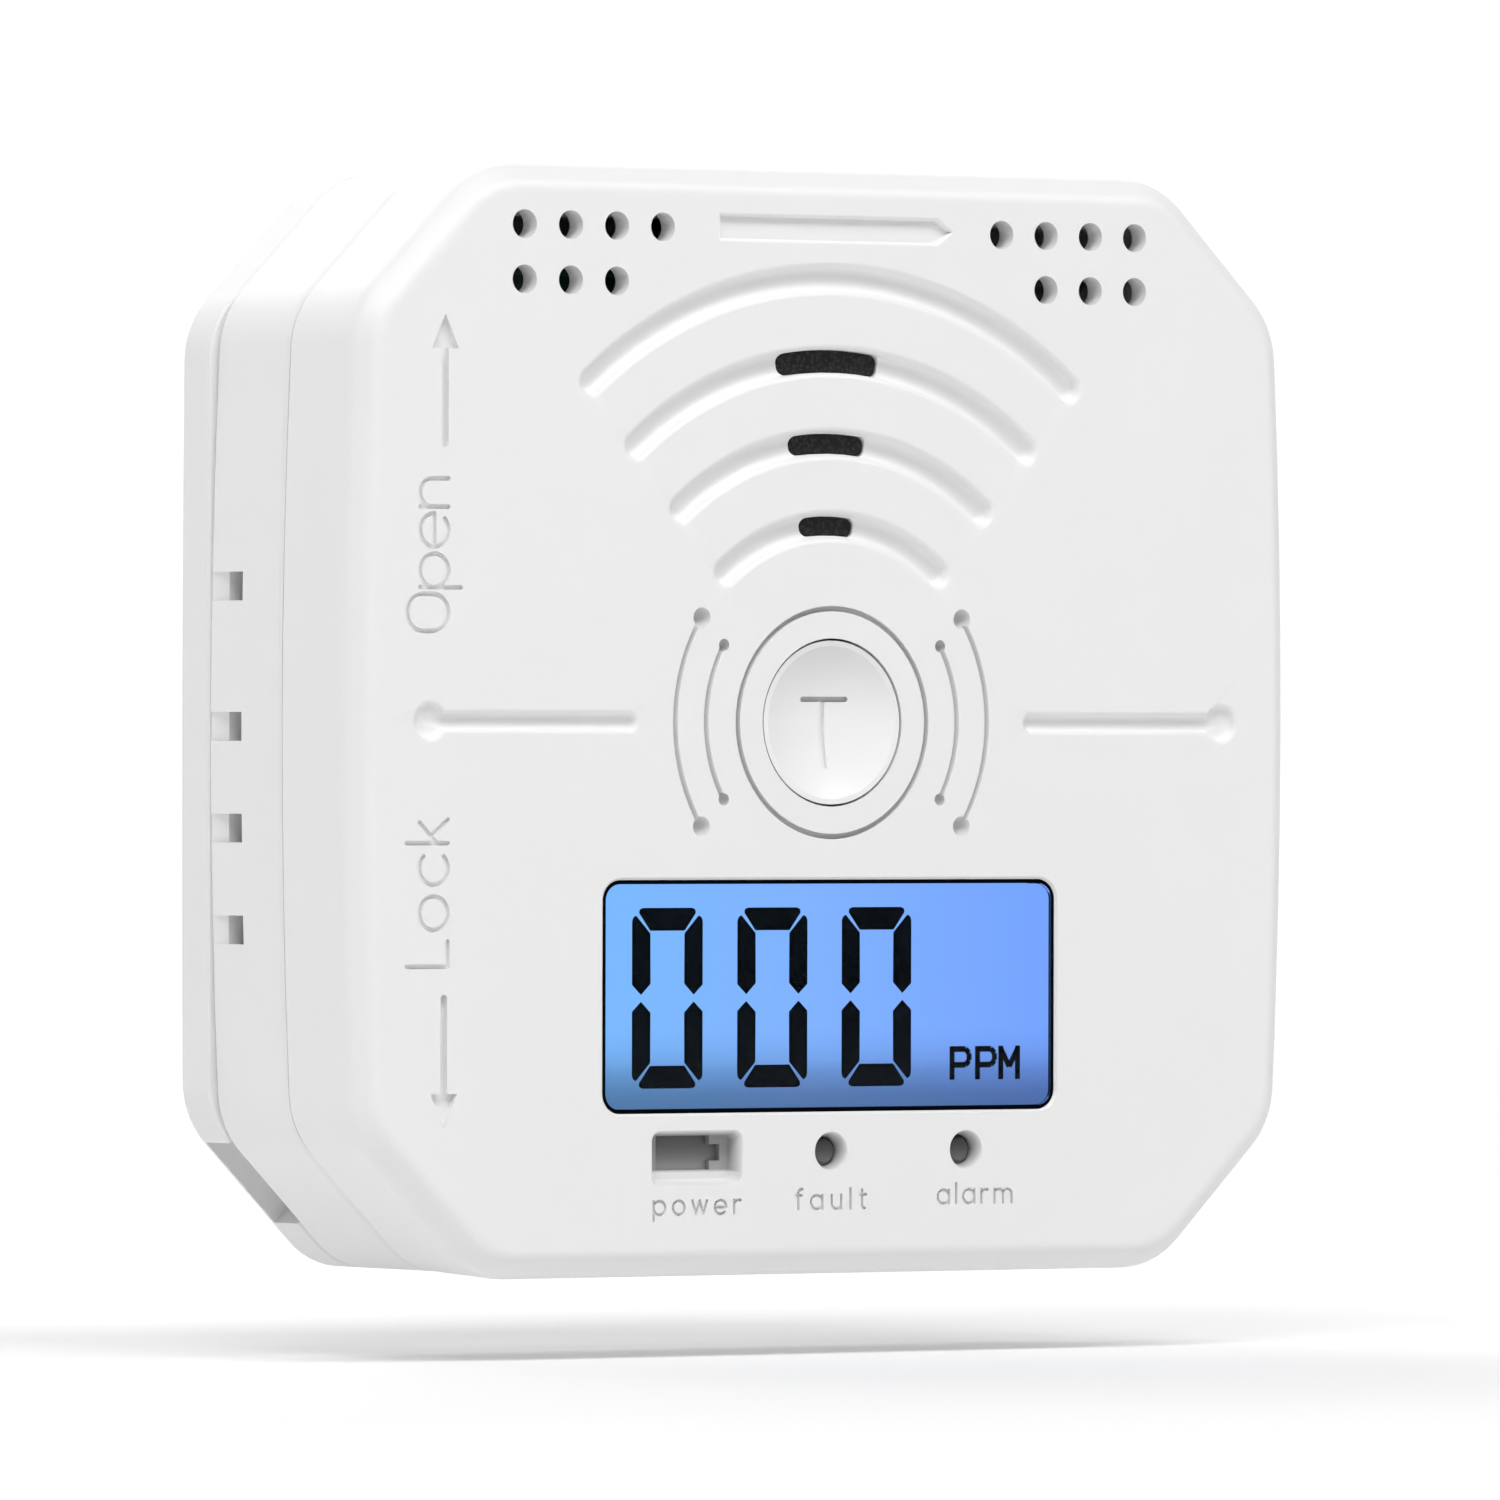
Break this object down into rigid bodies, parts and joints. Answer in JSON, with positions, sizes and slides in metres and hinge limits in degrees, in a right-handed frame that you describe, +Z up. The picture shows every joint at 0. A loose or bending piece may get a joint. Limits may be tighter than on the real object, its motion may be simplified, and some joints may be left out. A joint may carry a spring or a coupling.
{
  "type": "carbon monoxide detector",
  "caption": "Wall-mounted carbon monoxide detector: a white octagonal case with a backlit display and a test button, on a twist-off plate.",
  "frame": {"origin": "centre of the mounting plate's rear face, which lies on the wall", "axes": "+Y into the wall, +Z up, +X to the right as seen from the front"},
  "size_m": [0.0834, 0.024, 0.0808],
  "materials": {
    "case_plastic": "fine satin white ABS",
    "plate_plastic": "fine satin white ABS",
    "button_plastic": "smooth white ABS",
    "black_gasket": "matt black foam seal",
    "clear_window": "clear polished acrylic",
    "display_glass": "liquid crystal cell",
    "display_light": "blue backlight diffuser",
    "tinned_metal": "tinned metal",
    "board_green": "green solder mask on glass fibre",
    "chip_black": "moulded epoxy",
    "capacitor_can": "brushed can",
    "sensor_metal": "plain steel can",
    "black_plastic": "black moulding",
    "brass_disc": "rolled brass",
    "lamp_epoxy": "smoked epoxy, unlit",
    "smoked_lens": "smoked acrylic",
    "steel_sheet": "nickel-plated sheet",
    "battery_sleeve": "plain printed sleeve",
    "red_wire": "insulated wire",
    "black_wire": "insulated wire",
    "screw_steel": "zinc-plated steel"
  },
  "bodies": {
    "mount": {"mounting_plate": "plate_plastic"},
    "alarm": {"front_cover": "case_plastic", "rear_cover": "case_plastic", "display_gasket": "black_gasket", "display_window": "clear_window", "lcd_panel": "display_glass", "lcd_backlight": "display_light", "lcd_pins": "tinned_metal", "circuit_board": "board_green", "microcontroller": "chip_black", "capacitors": "capacitor_can", "chip_resistors": "chip_black", "co_sensor_can": "sensor_metal", "co_sensor_cap": "sensor_metal", "co_sensor_pins": "tinned_metal", "buzzer_housing": "black_plastic", "buzzer_disc": "brass_disc", "buzzer_base": "black_plastic", "sound_screen": "black_gasket", "power_led": "lamp_epoxy", "fault_led": "lamp_epoxy", "alarm_led": "lamp_epoxy", "led_leads": "tinned_metal", "power_window": "smoked_lens", "switch_body": "black_plastic", "switch_cover": "steel_sheet", "switch_dome": "steel_sheet", "battery_1": "battery_sleeve", "battery_2": "battery_sleeve", "battery_3": "battery_sleeve", "battery_contacts": "steel_sheet", "battery_springs": "steel_sheet", "battery_lead_red": "red_wire", "battery_lead_black": "black_wire", "case_screws": "screw_steel", "board_screws": "screw_steel"},
    "test_button": {"test_button": "button_plastic", "switch_plunger": "black_plastic"}
  },
  "joints": [
    {"name": "bayonet_twist", "type": "hinge", "parent": "mount", "child": "alarm", "pos_m": [0, 0, 0], "axis": [0, 1, 0], "range_deg": [0, 12]},
    {"name": "button_press", "type": "slide", "parent": "alarm", "child": "test_button", "axis": [0, 1, 0], "range_m": [0, 0.0005], "stiffness_N_per_m": 2000, "springref_m": -0.0002}
  ]
}
